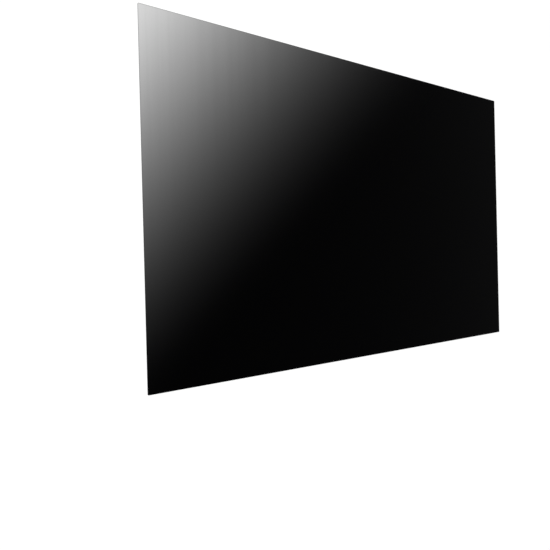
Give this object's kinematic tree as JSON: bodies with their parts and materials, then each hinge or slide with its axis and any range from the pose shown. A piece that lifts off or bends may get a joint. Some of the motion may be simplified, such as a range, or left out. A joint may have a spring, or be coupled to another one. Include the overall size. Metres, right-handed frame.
{
  "type": "display privacy filter",
  "caption": "Flat rectangular sheet of dark see-through film, 16:9, that lies over a flat display and narrows the angle it can be read from.",
  "frame": {"origin": "centre of the back face, which the sheet lies on", "axes": "+X to the right along the long side, +Y to the top edge along the short side, +Z out of the front face"},
  "size_m": [0.5314, 0.299, 0.0005],
  "materials": {
    "smoke_film": "near-black see-through film, low-reflection satin faces, clearer towards the upper left corner"
  },
  "bodies": {
    "root": {"filter_sheet": "smoke_film"}
  },
  "joints": []
}
